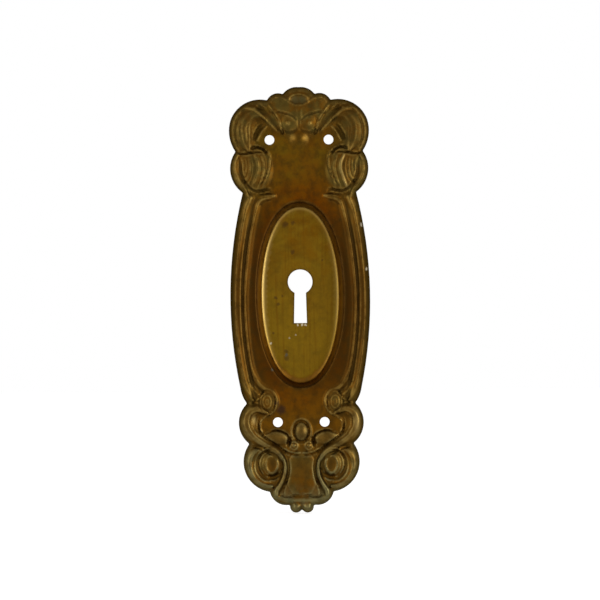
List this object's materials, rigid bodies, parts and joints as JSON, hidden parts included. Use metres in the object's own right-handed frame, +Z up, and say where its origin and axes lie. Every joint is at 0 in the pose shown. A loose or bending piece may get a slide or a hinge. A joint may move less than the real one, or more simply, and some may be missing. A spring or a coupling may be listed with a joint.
{
  "type": "pocket door plate",
  "caption": "Oblong pressed plate with a scroll and leaf border, an oval finger cup and a keyhole, screwed to the face of a sliding pocket door.",
  "frame": {"origin": "middle of the plate's height and width, on the door face that its turned-down edge rests on", "axes": "+X to the right as seen from the front, +Y into the door, +Z up; the front faces -Y"},
  "size_m": [0.0606, 0.0112, 0.1839],
  "materials": {
    "aged_brass": "aged, brown patina"
  },
  "bodies": {
    "root": {"plate": "aged_brass"}
  },
  "joints": []
}
